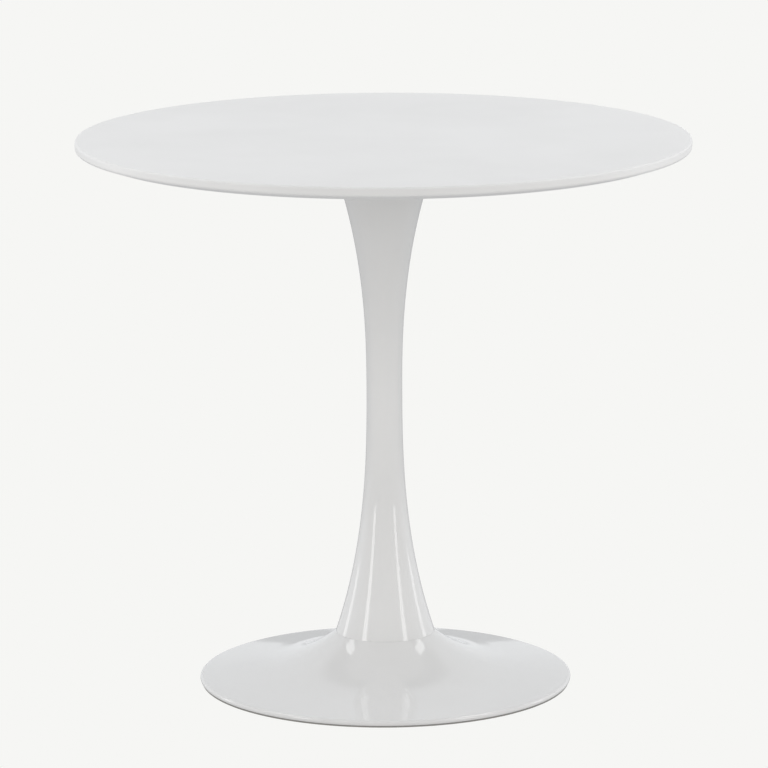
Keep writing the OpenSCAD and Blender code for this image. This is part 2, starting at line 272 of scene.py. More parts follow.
# Black powder coat on the bottom plate.
BLACK_POWDER = Finish(
    "black_powder_coat", "#1b1b1c", "#222223", 45, 0.5, 0.6, Relief.PEBBLED, 1.6, 0.03
)
# Bright zinc plate on steel, slightly cloudy where the passivation is thicker.
ZINC_PLATE = Finish(
    "zinc_plate", "#b9bcc0", "#a9a99f", 9, 0.26, 0.4, Relief.MOULDED, 1.2, 0.004, metallic=1.0
)
# Free-cutting brass, as turned.
TURNED_BRASS = Finish(
    "turned_brass", "#c9a35a", "#b98f47", 6, 0.24, 0.36, Relief.MOULDED, 0.8, 0.004, metallic=1.0
)
# Grey iron as it leaves the sand mould, with a thin dark primer.
SAND_CAST_IRON = Finish(
    "sand_cast_iron", "#34363a", "#45413d", 22, 0.62, 0.8, Relief.CAST, 2.4, 0.25
)
# Extruded rubber edging: matt, a little lighter where it is rubbed.
EDGING_RUBBER = Finish(
    "extruded_edging_rubber", "#8f8d8a", "#979591", 18, 0.66, 0.78, Relief.MOULDED, 1.5, 0.02
)
# Moulded nylon of the feet: a spark-eroded, slightly waxy surface.
MOULDED_NYLON = Finish(
    "moulded_nylon", "#2a2a2c", "#323234", 12, 0.42, 0.52, Relief.MOULDED, 0.9, 0.01
)


# -----------------------------------------------------------------------------
# Shapes
# -----------------------------------------------------------------------------


@dataclass(frozen=True)
class Loop:
    """One level loop of a turned piece. A size across flats trims it to a hexagon."""

    radius: float
    height: float
    flats: float = 0.0

    def reach(self, angle: float) -> float:
        """Gives the loop's radius at an angle. A hexagon has a corner at angle 0, as in the part source."""
        if not self.flats:
            return self.radius
        off_flat = math.remainder(angle - HEX_STEP / 2, HEX_STEP)
        return min(self.radius, self.flats / 2 / math.cos(off_flat))


def rounded(corners: Sequence[Corner], steps: int = 5) -> list[Loop]:
    """Rounds the corners of an outline.

    Args:
        corners: Radius from the axis, height and fillet of each corner, in order.
        steps: Facets of each fillet.

    Returns:
        The loops of the rounded outline, in the same order.
    """
    loops = []
    for index, (radius, height, fillet) in enumerate(corners):
        here = Vector((radius, height))
        if not fillet:
            loops.append(Loop(radius, height))
            continue
        before = (Vector(corners[index - 1][:2]) - here).normalized()
        after = (Vector(corners[(index + 1) % len(corners)][:2]) - here).normalized()
        half = before.angle(after) / 2
        centre = here + (before + after).normalized() * (fillet / math.sin(half))
        first = here + before * (fillet / math.tan(half)) - centre
        last = here + after * (fillet / math.tan(half)) - centre
        start = math.atan2(first.y, first.x)
        sweep = math.remainder(math.atan2(last.y, last.x) - start, math.tau)
        for step in range(steps + 1):
            angle = start + sweep * step / steps
            loops.append(Loop(centre.x + fillet * math.cos(angle), centre.y + fillet * math.sin(angle)))
    return loops


def finish_mesh(shape: bmesh.types.BMesh, name: str) -> Piece:
    """Makes an object of a closed shape: outward faces, smooth but for its sharp edges, even normals.

    Args:
        shape: The closed shape, which is freed.
        name: The object's name.

    Returns:
        An object with a plain mesh.
    """
    bmesh.ops.recalc_face_normals(shape, faces=shape.faces)
    mesh = bpy.data.meshes.new(name)
    shape.to_mesh(mesh)
    shape.free()
    host = bpy.data.objects.new(name + "_host", mesh)
    bpy.context.scene.collection.objects.link(host)
    return plain_copy(host, name)


def plain_copy(host: Piece, name: str) -> Piece:
    """Turns a host's modifiers into a plain mesh, shaded as its faces lie, and removes the host.

    Args:
        host: An object whose modifiers make the shape.
        name: The new object's name.

    Returns:
        A new object, at the origin, with no modifier.
    """
    bpy.context.view_layer.update()
    evaluated = host.evaluated_get(bpy.context.evaluated_depsgraph_get())
    mesh = bpy.data.meshes.new_from_object(evaluated)
    mesh.polygons.foreach_set("use_smooth", [True] * len(mesh.polygons))
    mesh.set_sharp_from_angle(angle=SHARP_ANGLE)
    bpy.data.objects.remove(host)
    piece = bpy.data.objects.new(name, mesh)
    mesh.name = name
    bpy.context.scene.collection.objects.link(piece)
    weigh = piece.modifiers.new("even_normals", "WEIGHTED_NORMAL")
    weigh.keep_sharp = True
    bpy.context.view_layer.update()
    weighed = piece.evaluated_get(bpy.context.evaluated_depsgraph_get())
    piece.data = bpy.data.meshes.new_from_object(weighed)
    piece.modifiers.clear()
    return piece


def add_rings(shape: bmesh.types.BMesh, loops: Sequence[Loop], centre: Point, segments: int) -> list[list]:
    """Adds the rings of a turned surface and the faces between each and the next.

    Args:
        shape: The shape that they go into.
        loops: The loops in order. A loop of no radius is a pole.
        centre: Where the axis stands.
        segments: Number of points round a loop.

    Returns:
        The points of each ring. A pole's ring has one.
    """
    rings = []
    for loop in loops:
        angles = [0.0] if loop.radius == 0 else [math.tau * step / segments for step in range(segments)]
        ring = []
        for angle in angles:
            reach = loop.reach(angle)
            across = (centre[0] + reach * math.cos(angle), centre[1] + reach * math.sin(angle))
            ring.append(shape.verts.new((*across, loop.height)))
        rings.append(ring)
    for low, high in zip(rings, rings[1:]):
        for step in range(segments):
            after = (step + 1) % segments
            below = (low[step % len(low)], low[after % len(low)])
            above = (high[after % len(high)], high[step % len(high)])
            distinct = list(dict.fromkeys(below + above))
            if len(distinct) > 2:
                shape.faces.new(distinct)
    return rings


@dataclass
class Turning:
    """A piece turned about a standing axis. Its outline runs from pole to pole, or closes on itself."""

    name: str
    loops: Sequence[Loop]
    centre: Point = (0.0, 0.0)
    segments: int = 96

    def build(self) -> Piece:
        """Builds the piece."""
        shape = bmesh.new()
        from_pole = self.loops[0].radius == 0
        outline = list(self.loops) if from_pole else [*self.loops, self.loops[0]]
        add_rings(shape, outline, self.centre, self.segments)
        bmesh.ops.remove_doubles(shape, verts=shape.verts, dist=POLE_WELD_DISTANCE)
        return finish_mesh(shape, self.name)


@dataclass
class PiercedPlate:
    """A flat disc with holes.

    The rim and each hole are loops from the underside to the top face, or to a pole.
    """

    name: str
    rim: Sequence[Loop]
    holes: Sequence[tuple[Point, Sequence[Loop]]]
    segments: int = 256
    hole_segments: int = 36

    def build(self) -> Piece:
        """Builds the plate, and fills its underside and its top face between the loops."""
        shape = bmesh.new()
        walls = [add_rings(shape, self.rim, (0.0, 0.0), self.segments)]
        for centre, loops in self.holes:
            count = self.segments // 2 if centre == (0.0, 0.0) else self.hole_segments
            walls.append(add_rings(shape, loops, centre, count))
        for end in (0, -1):
            borders = [wall[end] for wall in walls if len(wall[end]) > 1]
            if end == -1 and len(walls[0][end]) == 1:
                continue
            edges = [shape.edges.get(pair) for ring in borders for pair in zip([ring[-1], *ring], ring)]
            bmesh.ops.triangle_fill(shape, use_beauty=True, use_dissolve=False, edges=edges)
        return finish_mesh(shape, self.name)


def chamfered_rim(radius: float, low: float, high: float, cut: float) -> list[Loop]:
    """Gives the loops of a plate's edge, chamfered below and above."""
    outline = ((radius - cut, low), (radius, low + cut), (radius, high - cut), (radius - cut, high))
    return [Loop(*point) for point in outline]


def washer_outline(
    bore: float, outer: float, low: float, high: float, soft: float, steps: int
) -> list[Loop]:
    """Gives the outline of a stamped washer, its lower outer edge rounded in so many steps."""
    return rounded([(bore, low, 0), (outer, low, soft), (outer, high, 0), (bore, high, 0)], steps)


def screw_tip(radius: float, tip: float) -> list[Loop]:
    """Gives the loops that end a screw's shank in a short cone."""
    return [Loop(radius, tip - SCREW_TIP), Loop(radius - SCREW_TIP, tip), Loop(0.0, tip)]


def hexagon_corner(flats: float) -> float:
    """Gives how far a hexagon's corners are from its axis."""
    return flats / 2 / math.cos(HEX_STEP / 2)


def hexagon_end(
    flats: float, face: float, way: int, share: float = 0.96, drop: float | None = None
) -> list[Loop]:
    """Gives the loops of a hexagon's chamfered end, from its bearing face to the foot of its cone.

    Args:
        flats: Size across the flats.
        face: Height of the bearing face.
        way: 1 where the hexagon stands above the face, and -1 where it hangs below it.
        share: The bearing face's diameter, as a share of the size across the flats.
        drop: How far the cone falls to the corners. None is for the usual cone.

    Returns:
        The loops, in order.
    """
    corner = hexagon_corner(flats)
    bearing = flats / 2 * share
    fall = (corner - bearing) * math.tan(NUT_CONE) if drop is None else drop
    wider = corner - bearing
    cone = [Loop(bearing + wider * part, face + way * fall * part, flats) for part in CONE_PARTS]
    return [Loop(bearing, face), *cone]


class ShapeTree:
    """A Geometry Nodes tree with named inputs, which is run once to make a plain mesh."""

    def __init__(self, name: str) -> None:
        """Starts an empty tree with one mesh output."""
        self.name = name
        self.tree = bpy.data.node_groups.new(name, "GeometryNodeTree")
        self.tree.interface.new_socket("Mesh", in_out="OUTPUT", socket_type="NodeSocketGeometry")
        self.entry = add_node(self.tree, "NodeGroupInput")
        self.given: dict[str, object] = {}

    def ask(self, name: str, value: object, kind: str = "NodeSocketFloat") -> Term:
        """Adds a named input.

        Args:
            name: What the input holds.
            value: What it is set to.
            kind: Blender's name for the socket.

        Returns:
            The term to read it from.
        """
        socket = self.tree.interface.new_socket(name, in_out="INPUT", socket_type=kind)
        self.given[socket.identifier] = value
        return Term(self.entry.outputs[name])

    def spin_grid(self, rows: Term, segments: int) -> tuple[Socket, Term, Term]:
        """Adds the grid that a spun surface is bent from.

        Args:
            rows: Number of points along the outline.
            segments: Number of faces round the axis.

        Returns:
            The grid, each point's row number from 0, and its angle round the axis.
        """
        sizes = (1.0, 1.0, rows, self.ask("Segments", segments) + 1.0)
        grid = add_node(self.tree, "GeometryNodeMeshGrid", sizes).outputs[0]
        place = add_node(self.tree, "GeometryNodeInputPosition").outputs[0]
        along, across, _ = map(Term, add_node(self.tree, "ShaderNodeSeparateXYZ", (place,)).outputs)
        row = ((along + 0.5) * (rows - 1.0)).calc("ROUND")
        return grid, row, (across + 0.5) * math.tau

    def shell_grid(self, side: Term, segments: int) -> tuple[Socket, Term, Term, Term]:
        """Adds the grid of a shell. Its outline runs along the outer skin and back along the inner one.

        Args:
            side: Number of points along each skin.
            segments: Number of faces round the axis.

        Returns:
            The grid, each point's angle round the axis, 1 on the inner skin and 0 on the outer one, and
            the point's number along its skin.
        """
        both = side * 2.0
        grid, row, turn = self.spin_grid(both + 1.0, segments)
        step = row % both
        inner = step > side - 0.5
        return grid, turn, inner, inner.choose(both - 1.0 - step, step)

    def spun(self, grid: Socket, radius: Term, height: Term, turn: Term) -> Socket:
        """Bends the grid into a closed surface of revolution.

        Args:
            grid: The flat grid.
            radius: Each point's distance from the axis.
            height: Each point's height.
            turn: Each point's angle.

        Returns:
            The welded mesh.
        """
        corner = (radius * turn.calc("COSINE"), radius * turn.calc("SINE"), height)
        place = add_node(self.tree, "ShaderNodeCombineXYZ", corner).outputs[0]
        bent = add_node(self.tree, "GeometryNodeSetPosition", {"Geometry": grid, "Position": place})
        weld = {"Geometry": bent.outputs[0], "Distance": WELD_DISTANCE}
        return add_node(self.tree, "GeometryNodeMergeByDistance", weld).outputs[0]

    def build(self, geometry: Socket, finish: Finish, bevel: float = 0.0) -> Piece:
        """Ends the tree, runs it and turns the result into a plain mesh.

        Args:
            geometry: The socket that holds the shape.
            finish: The finish that the tree sets.
            bevel: Width of the round on the shape's sharp edges, or 0 for none.

        Returns:
            An object named as the tree is.
        """
        coat = self.ask("Finish", finish.material(), "NodeSocketMaterial")
        real = add_node(self.tree, "GeometryNodeRealizeInstances", (geometry,)).outputs[0]
        dressed = add_node(self.tree, "GeometryNodeSetMaterial", {"Geometry": real, "Material": coat})
        add_node(self.tree, "NodeGroupOutput", (dressed.outputs[0],))
        host = bpy.data.objects.new(self.name + "_host", bpy.data.meshes.new(self.name))
        bpy.context.scene.collection.objects.link(host)
        shaper = host.modifiers.new("shape", "NODES")
        shaper.node_group = self.tree
        for identifier, value in self.given.items():
            shaper[identifier] = value
        if bevel:
            softener = host.modifiers.new("edges", "BEVEL")
            softener.width = bevel
            softener.segments = 3
            softener.limit_method = "ANGLE"
            softener.angle_limit = BEVEL_ANGLE
        return plain_copy(host, self.name)


def ring_of(
    name: str, template: Piece, count: int, radius: float, finish: Finish, start: float = 0.0
) -> Piece:
    """Copies a template evenly round the table's axis.

    Args:
        name: The new piece's name.
        template: The piece to copy, built on the axis. It is removed.
        count: Number of copies.
        radius: Radius of the circle that they stand on.
        finish: Their finish.
        start: Angle of the first copy.

    Returns:
        One piece that holds every copy.
    """
    shape = ShapeTree(name)
    tree = shape.tree
    copies = shape.ask("Count", count, "NodeSocketInt")
    circle = shape.ask("Circle radius", radius)
    first = shape.ask("First angle", start)
    source = shape.ask("Template", template, "NodeSocketObject")
    number = Term(add_node(tree, "GeometryNodeInputIndex").outputs[0])
    angle = number * math.tau / copies + first
    corner = (circle * angle.calc("COSINE"), circle * angle.calc("SINE"))
    place = add_node(tree, "ShaderNodeCombineXYZ", corner).outputs[0]
    turned = add_node(tree, "ShaderNodeCombineXYZ", {"Z": angle}).outputs[0]
    points = add_node(tree, "GeometryNodePoints", (copies, place)).outputs[0]
    piece = add_node(tree, "GeometryNodeObjectInfo", {"Object": source}).outputs["Geometry"]
    placed = add_node(
        tree, "GeometryNodeInstanceOnPoints", {"Points": points, "Instance": piece, "Rotation": turned}
    ).outputs[0]
    made = shape.build(placed, finish)
    bpy.data.objects.remove(template)
    return made


def threaded_bar(
    name: str, radius: float, low: float, high: float, pitch: float, segments: int, finish: Finish
) -> Piece:
    """Cuts a thread on a bar on the table's axis. Its radius follows the helix; its ends are chamfered.

    Args:
        name: The piece's name.
        radius: Outer radius of the thread.
        low: Height of the lower end.
        high: Height of the upper end.
        pitch: Rise of one turn.
        segments: Number of faces round the bar.
        finish: The bar's finish.

    Returns:
        The closed, threaded bar.
    """
    shape = ShapeTree(name)
    crest = shape.ask("Crest radius", radius)
    rise = shape.ask("Pitch", pitch)
    bottom = shape.ask("Lower end", low)
    top = shape.ask("Upper end", high)
    rows = shape.ask("Rows", math.ceil((high - low) / pitch * THREAD_ROWS_PER_TURN) + 3)
    grid, row, turn = shape.spin_grid(rows, segments)
    level = row - 1.0
    levels = rows - 3.0
    height = bottom + (level / levels).calc("MAXIMUM", 0.0).calc("MINIMUM", 1.0) * (top - bottom)
    turns = height / rise - turn / math.tau
    valley = abs(turns.calc("FRACT") * 2.0 - 1.0)
    depth = rise * THREAD_DEPTH_PER_PITCH
    from_end = (height - bottom).calc("MINIMUM", top - height)
    reach = (crest - depth * valley).calc("MINIMUM", crest - depth + from_end)
    middle = levels * 0.5
    inside = abs(level - middle) < middle + 0.5
    return shape.build(shape.spun(grid, reach * inside, height, turn), finish)


def joined(name: str, pieces: Sequence[Piece]) -> Piece:
    """Puts several meshes into one piece.

    Args:
        name: The piece's name.
        pieces: The meshes, which are removed.

    Returns:
        The one piece.
    """
    target = pieces[0]
    with bpy.context.temp_override(active_object=target, selected_editable_objects=list(pieces)):
        bpy.ops.object.join()
    target.name = name
    return target


def moved(piece: Piece, offset: Point) -> Piece:
    """Moves a piece's mesh across the floor, and leaves its object at the origin."""
    piece.data.transform(Matrix.Translation((*offset, 0.0)))
    return piece


def hand_over(
    piece: Piece, finish: Finish, nodes: Sequence[str], body: str = FRAME_BODY
) -> None:
    """Dresses a finished piece and gives it to the frame.

    Args:
        piece: The piece.
        finish: Its finish.
        nodes: The CAD nodes that it stands for.
        body: The body that it rides on.
    """
    piece.data.materials.clear()
    piece.data.materials.append(finish.material())
    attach(piece, body)
    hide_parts(*nodes)
    LOG.info("piece %s: %d faces, rides on %s", piece.name, len(piece.data.polygons), body)


def zinc_ring(
    name: str,
    loops: Sequence[Loop],
    count: int,
    radius: float,
    node: str,
    start: float = 0.0,
    segments: int = 48,
) -> None:
    """Turns one zinc-plated piece, copies it round the table's axis, and gives the ring to the frame.

    Args:
        name: The ring's name.
        loops: The outline of one piece, on the axis.
        count: Number of pieces.
        radius: Radius of the circle that they stand on.
        node: The CAD node that the ring stands for.
        start: Angle of the first piece.
        segments: Number of faces round one piece.
    """
    one = Turning(name + "_template", loops, segments=segments).build()
    ring = ring_of(name, one, count, radius, ZINC_PLATE, start)
    hand_over(ring, ZINC_PLATE, [node])


def dress_node(frame: dict, node: str, finish: Finish) -> None:
    """Gives a CAD node that keeps its own mesh a finish."""
    for holder in frame["nodes"][node].material_slots:
        holder.material = finish.material()
    LOG.info("CAD node %s: %s", node, finish.name)


def circle_of(radius: float, count: int) -> list[Point]:
    """Gives points spaced evenly on a circle, from the X axis on."""
    angles = (math.tau * number / count for number in range(count))
    return [(radius * math.cos(angle), radius * math.sin(angle)) for angle in angles]


def heights(node: str) -> tuple[float, float]:
    """Gives the lowest and highest level of a CAD node."""
    low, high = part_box(node)
    return low.z, high.z


def outer_radius(node: str) -> float:
    """Gives how far a CAD node reaches from the table's axis along X."""
    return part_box(node)[1].x


# -----------------------------------------------------------------------------
# Sub-assemblies
# -----------------------------------------------------------------------------


@dataclass
class Tabletop:
    """The lacquered board: an upper round, a narrow band, a lower round and a bevel to the underside."""

    upper_round: float = 3 * MM
    band: float = 5.5 * MM
    lower_round: float = 4 * MM
    bevel_angle: float = math.radians(18)
    bevel_round: float = 2 * MM
    underside_flat: float = 10 * MM
    top_flat: float = 8 * MM
    ring_shares: Sequence[float] = (0.9, 0.7, 0.5, 0.3, 0.1, 0.0)
    screws: int = TOP_SCREWS
    screw_circle: float = TOP_SCREW_CIRCLE
    hole_radius: float = 4.6 * MM
    hole_depth: float = 13 * MM

    def rim(self) -> list[Loop]:
        """Gives the loops from the underside round the edge and over the top to its centre."""
        low, high = heights("tabletop")
        radius = outer_radius("tabletop")
        round_reach = self.lower_round * math.tan(math.pi / 4 - self.bevel_angle / 2)
        bevel_top = high - self.upper_round - self.band - round_reach
        bevel_end = radius - (bevel_top - low) / math.tan(self.bevel_angle)
        corners = [
            (bevel_end - self.underside_flat, low, 0.0),
            (bevel_end, low, self.bevel_round),
            (radius, bevel_top, self.lower_round),
            (radius, high, self.upper_round),
            (radius - self.top_flat, high, 0.0),
        ]
        inward = [Loop(radius * share, high) for share in self.ring_shares]
        return [*rounded(corners, steps=10), *inward]

    def build(self) -> None:
        """Builds the board with the blind holes for its threaded inserts."""
        low = heights("tabletop")[0]
        roof = low + self.hole_depth
        hole = [Loop(self.hole_radius, low), Loop(self.hole_radius, roof), Loop(0.0, roof)]
        holes = [(place, hole) for place in circle_of(self.screw_circle, self.screws)]
        board = PiercedPlate("tabletop_board", self.rim(), holes, segments=384, hole_segments=24).build()
        hand_over(board, SATIN_LACQUER, ["tabletop"])


@dataclass
class TopFixing:
    """The mounting plate under the board, with its washers, button-head screws and threaded inserts."""

    edge_chamfer: float = 0.5 * MM
    hole_radius: float = 3.5 * MM
    screws: int = TOP_SCREWS
    screw_circle: float = TOP_SCREW_CIRCLE
    screw_radius: float = 3 * MM
    screw_length: float = 16 * MM
    socket_flats: float = 3.46 * MM
    socket_depth: float = 2 * MM
    socket_lead: float = 0.2 * MM
    socket_mouth: float = 2.3 * MM
    head_radius: float = 5.4 * MM
    dome_angles: Sequence[float] = (38, 48, 58, 68, 79, 90)
    washer_play: float = 0.1 * MM
    washer_round: float = 0.4 * MM

    def build(self, frame: dict) -> None:
        """Builds the visible pieces and dresses the hidden ones."""
        self.build_plate()
        self.build_washers()
        self.build_screws()
        dress_node(frame, "threaded_inserts", TURNED_BRASS)
        for node in ("plate_locating_ring", "plate_weld_nut", "column_top_collar"):
            dress_node(frame, node, ZINC_PLATE)

    def build_plate(self) -> None:
        """Builds the round plate with chamfered edges and its screw holes."""
        low, high = heights("mounting_plate")
        radius = outer_radius("mounting_plate")
        rim = chamfered_rim(radius, low, high, self.edge_chamfer)
        hole = [Loop(self.hole_radius, low), Loop(self.hole_radius, high)]
        holes = [(place, hole) for place in circle_of(self.screw_circle, self.screws)]
        plate = PiercedPlate("mounting_plate_disc", rim, holes, hole_segments=24).build()
        hand_over(plate, PALE_POWDER, ["mounting_plate"])

    def build_washers(self) -> None:
        """Builds the ring of flat washers, their stamped edges rounded."""
        low, high = heights("plate_washers")
        outer = outer_radius("plate_washers") - self.screw_circle
        bore = self.screw_radius + self.washer_play
        outline = washer_outline(bore, outer, low, high, self.washer_round, steps=3)
        zinc_ring("top_washers", outline, self.screws, self.screw_circle, "plate_washers")

    def build_screws(self) -> None:
        """Builds the ring of button-head screws, driven from below through a hexagon socket."""
        face = heights("plate_screws")[0]
        seat = heights("plate_washers")[0]
        tip = seat + self.screw_length
        socket_floor = face + self.socket_depth
        wide = self.head_radius * 2
        dome = [
            Loop(self.head_radius * math.sin(angle), seat - (seat - face) * math.cos(angle))
            for angle in map(math.radians, self.dome_angles)
        ]
        loops = [
            Loop(0.0, socket_floor),
            Loop(wide, socket_floor, self.socket_flats),
            Loop(wide, face + self.socket_lead, self.socket_flats),
            Loop(self.socket_mouth, face),
            *dome,
            Loop(self.screw_radius, seat),
            *screw_tip(self.screw_radius, tip),
        ]
        zinc_ring("top_screws", loops, self.screws, self.screw_circle, "plate_screws")


@dataclass
class Column:
    """The hourglass shell.

    Its radius grows by a power of the distance from the waist, up to the head and down to the foot.
    """

    wall: float = SHELL_WALL
    waist_radius: float = 23.4 * MM
    waist_height: float = 395 * MM
    foot_radius: float = COLUMN_FOOT_RADIUS
    head_flare: float = 2.4
    foot_flare: float = 2.6
    edge_round: float = SHELL_EDGE_ROUND
    levels: int = 90
    segments: int = 256

    def build(self, frame: dict) -> None:
        """Builds the shell and dresses the disc welded inside its foot."""
        shape = ShapeTree("column_hourglass")
        low, high = heights("column_shell")
        foot_height = shape.ask("Foot height", low)
        head_height = shape.ask("Head height", high)
        waist_height = shape.ask("Waist height", self.waist_height)
        waist = shape.ask("Waist radius", self.waist_radius)
        head = shape.ask("Head radius", outer_radius("column_shell"))
        foot = shape.ask("Foot radius", self.foot_radius)
        head_power = shape.ask("Head flare", self.head_flare)
        foot_power = shape.ask("Foot flare", self.foot_flare)
        wall = shape.ask("Wall", self.wall)
        levels = shape.ask("Levels", self.levels)
        grid, turn, inner, level = shape.shell_grid(levels, self.segments)
        height = foot_height + level / (levels - 1.0) * (head_height - foot_height)
        above = height > waist_height
        span = above.choose(head_height - waist_height, waist_height - foot_height)
        power = above.choose(head_power, foot_power)
        reach = abs(height - waist_height) / span
        growth = above.choose(head, foot) - waist
        slope = power * growth / span * reach ** (power - 1.0)
        slant = (slope * slope + 1.0).calc("SQRT")
        shell = waist + growth * reach**power - inner * (wall * slant)
        piece = shape.build(shape.spun(grid, shell, height, turn), GLOSS_LACQUER, bevel=self.edge_round)
        hand_over(piece, GLOSS_LACQUER, ["column_shell"])
        dress_node(frame, "column_foot_collar", ZINC_PLATE)


@dataclass
class Base:
    """The trumpet shell and its edging: a neck that sweeps out to a shallow dish with a rolled rim."""

    wall: float = SHELL_WALL
    foot_radius: float = COLUMN_FOOT_RADIUS
    flange: float = 13 * MM
    roll: float = 3.8 * MM
    return_width: float = 19 * MM
    dish_slope: float = 0.14
    sweep_radius: float = 185 * MM
    sweep_flare: float = 2.6
    edge_round: float = SHELL_EDGE_ROUND
    levels: int = 72
    roll_steps: int = 16
    segments: int = 320
    edging_play: float = 0.1 * MM
    edging_lip: float = 1.2 * MM
    edging_clip: float = 4.1 * MM

    def build(self, frame: dict) -> None:
        """Builds the shell and the edging, and dresses the centring disc in the neck."""
        self.build_shell()
        self.build_edging()
        dress_node(frame, "base_collar", ZINC_PLATE)

    def build_shell(self) -> None:
        """Builds the shell by its rule: flange, sweep, dish, rolled rim, return, and back inside."""
        shape = ShapeTree("base_trumpet")
        low, high = heights("base_shell")
        lean = math.pi / 2 - math.atan(self.dish_slope)
        seam = shape.ask("Seam height", high)
        foot = shape.ask("Foot radius", self.foot_radius)
        hole = shape.ask("Neck hole radius", self.foot_radius - self.flange)
        roll = shape.ask("Roll radius", self.roll)
        roll_radius = shape.ask("Roll centre radius", outer_radius("base_shell") - self.roll)
        roll_height = shape.ask("Roll centre height", low + self.roll)
        back = shape.ask("Return width", self.return_width)
        dish_slope = shape.ask("Dish slope", self.dish_slope)
        sweep = shape.ask("Sweep radius", self.sweep_radius)
        flare = shape.ask("Sweep flare", self.sweep_flare)
        wall = shape.ask("Wall", self.wall)
        levels = shape.ask("Levels", self.levels)
        roll_steps = shape.ask("Roll steps", self.roll_steps)
        side = levels + roll_steps + 2.0
        grid, turn, inner, level = shape.shell_grid(side, self.segments)
        depth = inner * wall
        edge_radius = roll_radius + roll * math.cos(lean)
        edge_height = roll_height + roll * math.sin(lean)
        rise = seam - edge_height - dish_slope * (edge_radius - foot)
        width = sweep - foot
        share = ((level - 1.0).calc("MAXIMUM", 0.0) / (levels - 1.0)).calc("MINIMUM", 1.0)
        along = foot + share * (edge_radius - foot)
        swept = (sweep - along).calc("MAXIMUM", 0.0) / width
        skin = edge_height + dish_slope * (edge_radius - along) + rise * swept**flare
        slope = dish_slope + rise * (flare / width * swept ** (flare - 1.0))
        slant = (slope * slope + 1.0).calc("SQRT")
        rolled = ((level - levels) / roll_steps).calc("MINIMUM", 1.0)
        angle = lean - rolled * (lean + math.pi / 2)
        thin = roll - depth
        in_roll = level > levels + 0.5
        radius = in_roll.choose(roll_radius + thin * angle.calc("COSINE"), along)
        radius = (level > side - 1.5).choose(roll_radius - back, radius)
        radius = (level < 0.5).choose(hole, radius)
        height = in_roll.choose(roll_height + thin * angle.calc("SINE"), skin - depth * slant)
        piece = shape.build(shape.spun(grid, radius, height, turn), GLOSS_LACQUER, bevel=self.edge_round)
        hand_over(piece, GLOSS_LACQUER, ["base_shell"])

    def build_edging(self) -> None:
        """Builds the rubber edging, a channel that clips over the rim's return, clear of the floor."""
        low, high = heights("rim_trim")
        rim_low = heights("base_shell")[0]
        outer = outer_radius("rim_trim")
        return_edge = outer_radius("base_shell") - self.roll - self.return_width - self.edging_play
        lip = self.edging_lip
        clip_end = return_edge + self.edging_clip
        soft = 0.5 * MM
        crisp = 0.2 * MM
        corners = [
            (return_edge - lip, low, soft),
            (outer, low, soft),
            (outer, rim_low, 0.3 * MM),
            (return_edge, rim_low, crisp),
            (return_edge, high - lip, crisp),
            (clip_end, high - lip, crisp),
            (clip_end, high, 0.4 * MM),
            (return_edge - lip, high, soft),
        ]
        edging = Turning("rim_edging", rounded(corners, steps=4), segments=self.segments).build()
        hand_over(edging, EDGING_RUBBER, ["rim_trim"])


@dataclass
class Underside:
    """The bottom plate and its countersunk screws, under the cast ballast."""

    edge_chamfer: float = 0.4 * MM
    access_radius: float = 28 * MM
    screws: int = 6
    screw_radius: float = 3 * MM
    head_radius: float = 5.52 * MM
    head_land: float = 0.1 * MM
    socket_flats: float = 3.46 * MM
    socket_share: float = 0.9
    socket_lead: float = 0.15 * MM
    socket_mouth: float = 2.2 * MM
    hole_play: float = 0.1 * MM
    pilot_radius: float = 5.95 * MM

    def build(self, frame: dict) -> None:
        """Builds the plate and its screws, and dresses the ballast."""
        low, high = heights("bottom_plate")
        radius = outer_radius("bottom_plate")
        cut = self.edge_chamfer
        screw_circle = outer_radius("bottom_plate_screws") - self.head_radius
        rim = chamfered_rim(radius, low, high, cut)
        access = [
            Loop(self.access_radius + cut, low),
            Loop(self.access_radius, low + cut),
            Loop(self.access_radius, high),
        ]
        pilot = [Loop(self.pilot_radius, low), Loop(self.pilot_radius, high)]
        sink = self.head_radius - self.screw_radius
        screw_hole = [
            Loop(self.head_radius + self.hole_play, low),
            Loop(self.screw_radius + self.hole_play, low + sink),
            Loop(self.screw_radius + self.hole_play, high),
        ]
        holes = [((0.0, 0.0), access)]
        holes += [(place, screw_hole) for place in circle_of(screw_circle, self.screws)]
        holes += [(glide_centre(number), pilot) for number in GLIDE_NUMBERS]
        plate = PiercedPlate("bottom_plate_disc", rim, holes, segments=256).build()
        hand_over(plate, BLACK_POWDER, ["bottom_plate"])
        self.build_screws(low, screw_circle)
        dress_node(frame, "ballast", SAND_CAST_IRON)

    def build_screws(self, face: float, circle: float) -> None:
        """Builds the ring of countersunk screws, flush with the plate.

        Args:
            face: Height of the plate's underside.
            circle: Radius of the circle that they stand on.
        """
        tip = heights("bottom_plate_screws")[1]
        wide = self.head_radius
        sink = wide - self.screw_radius
        socket_floor = face + sink * self.socket_share
        loops = [
            Loop(0.0, socket_floor),
            Loop(wide, socket_floor, self.socket_flats),
            Loop(wide, face + self.socket_lead, self.socket_flats),
            Loop(self.socket_mouth, face),
            Loop(wide - self.socket_lead, face),
            Loop(wide, face + self.head_land),
            Loop(self.screw_radius, face + sink),
            *screw_tip(self.screw_radius, tip),
        ]
        zinc_ring("bottom_screws", loops, self.screws, circle, "bottom_plate_screws")


